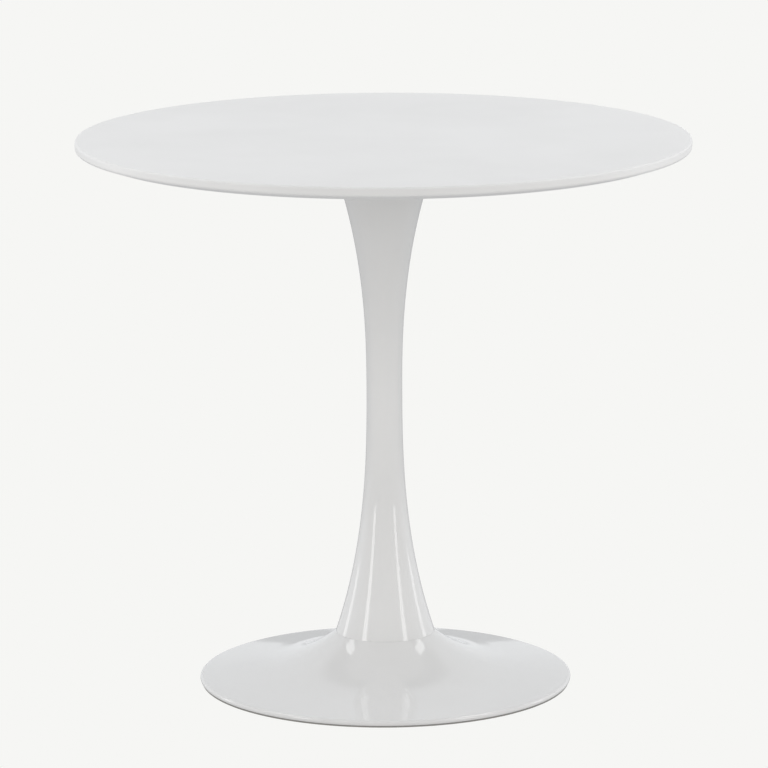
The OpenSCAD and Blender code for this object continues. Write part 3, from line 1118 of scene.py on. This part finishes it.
def hex_nut(name: str, flats: float, bore: float, low: float, high: float) -> Piece:
    """Builds a hexagon nut on the table's axis, its corners chamfered at both ends.

    Args:
        name: The piece's name.
        flats: Size across the flats.
        bore: Radius of the bore.
        low: Height of the lower face.
        high: Height of the upper face.

    Returns:
        The nut.
    """
    lead = 0.6 * MM
    loops = [
        Loop(bore, low + lead),
        Loop(bore + lead, low),
        *hexagon_end(flats, low, 1),
        *reversed(hexagon_end(flats, high, -1)),
        Loop(bore + lead, high),
        Loop(bore, high - lead),
    ]
    return Turning(name, loops, segments=72).build()


@dataclass
class Clamp:
    """The tie rod that draws the table together, with its lower nut and washers."""

    rod_radius: float = 6 * MM
    rod_pitch: float = 1.75 * MM
    rod_faces: int = 20
    nut_flats: float = 19 * MM
    nut_bore: float = 6.05 * MM
    washer_bore: float = 6.5 * MM
    washer_round: float = 0.6 * MM

    def build(self, frame: dict) -> None:
        """Builds the rod, the nut and the clamp washer, and dresses the spring washer."""
        low, high = heights("tie_rod")
        size = self.rod_radius, low, high, self.rod_pitch, self.rod_faces
        rod = threaded_bar("tie_rod_bar", *size, ZINC_PLATE)
        hand_over(rod, ZINC_PLATE, ["tie_rod"])
        low, high = heights("tie_rod_nut")
        nut = hex_nut("lower_nut", self.nut_flats, self.nut_bore, low, high)
        hand_over(nut, ZINC_PLATE, ["tie_rod_nut"])
        low, high = heights("clamp_washer")
        outer = outer_radius("clamp_washer")
        outline = washer_outline(self.washer_bore, outer, low, high, self.washer_round, steps=4)
        washer = Turning("clamp_washer_disc", outline).build()
        hand_over(washer, ZINC_PLATE, ["clamp_washer"])
        dress_node(frame, "spring_washer", ZINC_PLATE)


def glide_centre(number: int) -> Point:
    """Gives where a levelling glide stands."""
    low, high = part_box(f"glide_pad_{number}")
    return (low.x + high.x) / 2, (low.y + high.y) / 2


@dataclass
class Glides:
    """The four levelling glides: a nylon foot on a threaded stud, which screws through a weld nut."""

    stud_radius: float = 4 * MM
    pitch: float = 1.25 * MM
    hexagon_flats: float = 17 * MM
    hexagon_low: float = 3.1 * MM
    hexagon_high: float = 4.7 * MM
    nut_flats: float = 13 * MM
    nut_bore: float = 4.05 * MM
    pilot_radius: float = 5.85 * MM
    hexagon_drop: float = 0.5 * MM
    hexagon_bearing: float = 0.97
    thread_overlap: float = 0.8 * MM
    thread_faces: int = 36
    core_share: float = 0.8
    socket_floor: float = 1.5 * MM
    socket_play: float = 0.05 * MM
    segments: int = 72

    def build(self) -> None:
        """Builds the weld nuts, and each glide's foot and stud."""
        self.build_nuts()
        for number in GLIDE_NUMBERS:
            self.build_foot(number)
            self.build_stud(number)

    def build_nuts(self) -> None:
        """Builds the weld nuts, their round pilots filling the bottom plate's holes."""
        low, high = heights("glide_nuts")
        shoulder = heights("bottom_plate")[1]
        lead = 0.4 * MM
        cut = 0.2 * MM
        loops = [
            Loop(self.nut_bore, low + lead),
            Loop(self.nut_bore + lead, low),
            Loop(self.pilot_radius - cut, low),
            Loop(self.pilot_radius, low + cut),
            Loop(self.pilot_radius, shoulder),
            Loop(hexagon_corner(self.nut_flats), shoulder, self.nut_flats),
            *reversed(hexagon_end(self.nut_flats, high, -1)),
            Loop(self.nut_bore + lead, high),
            Loop(self.nut_bore, high - lead),
        ]
        across, deep = glide_centre(1)
        start = math.atan2(deep, across)
        circle = math.hypot(across, deep)
        zinc_ring("weld_nuts", loops, len(GLIDE_NUMBERS), circle, "glide_nuts", start, self.segments)

    def build_foot(self, number: int) -> None:
        """Builds one nylon foot: a low dish with a moulded ring round its socket."""
        node = f"glide_pad_{number}"
        low, high = heights(node)
        radius = (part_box(node)[1].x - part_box(node)[0].x) / 2
        bore = self.stud_radius + self.socket_play
        cut = 0.8 * MM
        groove = high - 0.4 * MM
        soft = 0.3 * MM
        crisp = 0.2 * MM
        corners = [
            (radius * 0.6, low, 0),
            (radius - cut, low, 0.4 * MM),
            (radius, low + cut, 0.6 * MM),
            (radius, high, 0.5 * MM),
            (radius * 0.62, high, soft),
            (radius * 0.58, groove, crisp),
            (radius * 0.46, groove, crisp),
            (radius * 0.42, high, soft),
            (bore, high, crisp),
            (bore, self.socket_floor, 0),
        ]
        loops = [Loop(0.0, low), *rounded(corners, steps=3), Loop(0.0, self.socket_floor)]
        foot = Turning(f"glide_foot_{number}_nylon", loops, glide_centre(number), self.segments).build()
        hand_over(foot, MOULDED_NYLON, [node], f"glide_foot_{number}")

    def build_stud(self, number: int) -> None:
        """Builds one stud: a chamfered hexagon on a plain end, and the thread above it."""
        node = f"glide_stud_{number}"
        low, high = heights(node)
        radius = self.stud_radius
        cut = 0.4 * MM
        cone = self.hexagon_bearing, self.hexagon_drop
        loops = [
            Loop(0.0, low),
            Loop(radius - cut, low),
            Loop(radius, low + cut),
            Loop(radius, self.hexagon_low),
            *hexagon_end(self.hexagon_flats, self.hexagon_low, 1, *cone),
            *reversed(hexagon_end(self.hexagon_flats, self.hexagon_high, -1, *cone)),
            Loop(radius * self.core_share, self.hexagon_high),
            Loop(0.0, self.hexagon_high),
        ]
        hexagon = Turning("glide_hexagon", loops, segments=self.segments).build()
        size = radius, self.hexagon_high - self.thread_overlap, high, self.pitch, self.thread_faces
        thread = threaded_bar("glide_thread", *size, ZINC_PLATE)
        stud = joined(f"glide_stud_{number}_steel", [hexagon, thread])
        angle = math.atan2(*reversed(glide_centre(number)))
        stud.data.transform(Matrix.Rotation(angle, 4, "Z"))
        moved(stud, glide_centre(number))
        hand_over(stud, ZINC_PLATE, [node], f"glide_screw_{number}")


# -----------------------------------------------------------------------------
# Studio
# -----------------------------------------------------------------------------


@dataclass(frozen=True)
class Softbox:
    """A flat, even light that faces the table's middle.

    Azimuth 0 is over the camera, and positive is to its right.
    """

    name: str
    azimuth: float
    elevation: float
    width: float
    length: float
    radiance: float
    colour: str = "#ffffff"
    distance: float = 3.0
    aim: float = 0.35

    def build(self) -> None:
        """Hangs the light, unseen by the camera."""
        turn = math.radians(self.azimuth)
        rise = math.radians(self.elevation)
        level = math.cos(rise)
        away = Vector((math.sin(turn) * level, -math.cos(turn) * level, math.sin(rise)))
        lamp = bpy.data.lights.new(self.name, "AREA")
        lamp.shape = "RECTANGLE"
        lamp.size = self.width
        lamp.size_y = self.length
        lamp.color = linear(self.colour)[:3]
        lamp.energy = self.radiance * math.pi * self.width * self.length
        holder = bpy.data.objects.new(self.name, lamp)
        place = away * self.distance + Vector((0.0, 0.0, self.aim))
        facing = away.to_track_quat("Z", "Y").to_matrix().to_4x4()
        holder.matrix_world = Matrix.Translation(place) @ facing
        holder.visible_camera = False
        bpy.context.scene.collection.objects.link(holder)


@dataclass(frozen=True)
class Cove:
    """How bright one half of the surroundings is, from straight down to overhead, with its tint."""

    nadir: float
    ground: float
    floor: float
    skirting: float
    horizon: float
    wall: float
    lift: float
    crown: float
    tint: str = "#ffffff"

    def levels(self) -> tuple[tuple[float, float], ...]:
        """Pairs each elevation in degrees with the brightness there."""
        return (
            (-65.0, self.nadir),
            (-37.0, self.ground),
            (-10.0, self.floor),
            (-5.0, self.skirting),
            (1.2, self.horizon),
            (6.0, self.wall),
            (40.0, self.lift),
            (47.0, self.crown),
        )

    def shade(self, upward: Term) -> Term:
        """Adds the nodes that give this half its brightness.

        Args:
            upward: The upward part of a ray's direction, from -1 to 1.

        Returns:
            The brightness.
        """
        total: float | Term = self.nadir
        for (low, dim), (high, bright) in zip(self.levels(), self.levels()[1:]):
            ends = math.sin(math.radians(low)), math.sin(math.radians(high))
            total = total + upward.ramp(*ends, 0.0, bright - dim)
        return total


@dataclass
class Studio:
    """A pale cove with no visible horizon, tall strip lights round the table, and the camera."""

    backdrop: str = "#f6f6f4"
    near: Cove = Cove(
        nadir=0.46,
        ground=0.42,
        floor=1.12,
        skirting=0.66,
        horizon=0.58,
        wall=0.66,
        lift=1.15,
        crown=0.03,
        tint="#fffefc",
    )
    far: Cove = Cove(
        nadir=0.80,
        ground=0.57,
        floor=0.42,
        skirting=0.92,
        horizon=0.92,
        wall=0.95,
        lift=0.85,
        crown=0.25,
        tint="#fbfdff",
    )
    gap: float = 0.06
    gap_level: float = 0.57
    gap_height: float = 0.062
    gap_foot: float = -0.012
    gap_side_blur: float = 0.01
    gap_top_blur: float = 0.008
    join: float = 0.2
    camera_place: tuple[float, float, float] = (0.0, -6.3922, 1.7187)
    camera_tilt: float = math.radians(78.336)
    camera_roll: float = math.radians(-0.21)
    lens: float = 233.55
    sensor: float = 36.0
    shift: float = -0.0005
    boxes: Sequence[Softbox] = field(
        default_factory=lambda: (
            Softbox("front_left_strip", -51, 8.5, 0.55, 1.41, 3.7),
            Softbox("front_right_strip", 48.5, 8.5, 0.55, 1.41, 3.4),
            Softbox("rear_left_strip", -110.5, 4.0, 0.55, 0.94, 2.0),
            Softbox("rear_right_strip", 104, 8.5, 0.55, 1.41, 2.0),
            Softbox("high_left_box", -122, 50, 0.37, 0.73, 2.8),
            Softbox("high_right_box", 122, 50, 0.37, 0.73, 2.8),
            Softbox("left_key", -90, 55, 1.0, 1.05, 5.0),
            Softbox("right_key", 90, 55, 1.0, 1.05, 5.4),
            Softbox("overhead_box", 0, 88, 1.2, 1.05, 0.4),
        )
    )

    def build(self) -> None:
        """Builds the surroundings, the floor, the lights and the camera."""
        bpy.context.scene.view_settings.view_transform = "Standard"
        self.build_surroundings()
        self.build_floor()
        for box in self.boxes:
            box.build()
        self.build_camera()

    def build_surroundings(self) -> None:
        """Lights the table from a pale cove above and a darker floor below.

        Straight behind the table a low, narrow gap is darker. The camera sees the plain backdrop.
        """
        world = bpy.data.worlds.new("studio")
        bpy.context.scene.world = world
        world.use_nodes = True
        tree = world.node_tree
        tree.nodes.clear()
        direction = add_node(tree, "ShaderNodeTexCoord").outputs["Generated"]
        parts = add_node(tree, "ShaderNodeSeparateXYZ", (direction,)).outputs
        sideways, backward, upward = map(Term, parts)
        smooth = "SMOOTHSTEP"
        behind = backward.ramp(-self.join, self.join, curve=smooth)
        side_ends = self.gap - self.gap_side_blur, self.gap + self.gap_side_blur
        beside = abs(sideways).ramp(*side_ends, 1.0 - self.gap_level, 0.0, smooth)
        top_ends = self.gap_height - self.gap_top_blur, self.gap_height + self.gap_top_blur
        dark = upward.ramp(*top_ends, beside, 0.0, smooth) * (upward > self.gap_foot)
        levels = self.near.shade(upward), self.far.shade(upward) * (1.0 - dark)
        halves = [
            add_node(tree, "ShaderNodeBackground", (linear(half.tint), level)).outputs[0]
            for half, level in zip((self.near, self.far), levels)
        ]
        cove = add_node(tree, "ShaderNodeMixShader", (behind, *halves)).outputs[0]
        seen = add_node(tree, "ShaderNodeBackground", {"Color": linear(self.backdrop)}).outputs[0]
        to_camera = add_node(tree, "ShaderNodeLightPath").outputs["Is Camera Ray"]
        mixed = add_node(tree, "ShaderNodeMixShader", (to_camera, cove, seen)).outputs[0]
        add_node(tree, "ShaderNodeOutputWorld", (mixed,))

    def build_floor(self) -> None:
        """Lays the floor: as pale as the backdrop, and clear from below so that the feet can be seen."""
        shape = bmesh.new()
        bmesh.ops.create_grid(shape, x_segments=1, y_segments=1, size=20)
        mesh = bpy.data.meshes.new("floor")
        shape.to_mesh(mesh)
        shape.free()
        floor = bpy.data.objects.new("floor", mesh)
        bpy.context.scene.collection.objects.link(floor)
        paint = bpy.data.materials.new("pale_floor")
        paint.use_nodes = True
        tree = paint.node_tree
        tree.nodes.clear()
        pale = add_node(tree, "ShaderNodeEmission", (linear(self.backdrop), 1.0)).outputs[0]
        clear = add_node(tree, "ShaderNodeBsdfTransparent").outputs[0]
        below = add_node(tree, "ShaderNodeNewGeometry").outputs["Backfacing"]
        mixed = add_node(tree, "ShaderNodeMixShader", (below, pale, clear)).outputs[0]
        add_node(tree, "ShaderNodeOutputMaterial", (mixed,))
        mesh.materials.append(paint)
        for ray in ("diffuse", "glossy", "transmission", "shadow", "volume_scatter"):
            setattr(floor, f"visible_{ray}", False)

    def build_camera(self) -> None:
        """Sets up the long lens, far in front of the table, above it and looking slightly down."""
        lens = bpy.data.cameras.new("camera")
        lens.sensor_width = self.sensor
        lens.lens = self.lens
        lens.shift_x = self.shift
        camera = bpy.data.objects.new("camera", lens)
        tilt = Matrix.Rotation(self.camera_tilt, 4, "X")
        roll = Matrix.Rotation(self.camera_roll, 4, "Z")
        camera.matrix_world = Matrix.Translation(self.camera_place) @ tilt @ roll
        bpy.context.scene.collection.objects.link(camera)
        bpy.context.scene.camera = camera


def main() -> None:
    """Loads the frame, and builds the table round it."""
    logging.basicConfig(level=logging.INFO, format="%(name)s: %(message)s")
    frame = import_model()
    Studio().build()
    Tabletop().build()
    TopFixing().build(frame)
    Column().build(frame)
    Base().build(frame)
    Underside().build(frame)
    Clamp().build(frame)
    Glides().build()


if __name__ == "__main__":
    main()
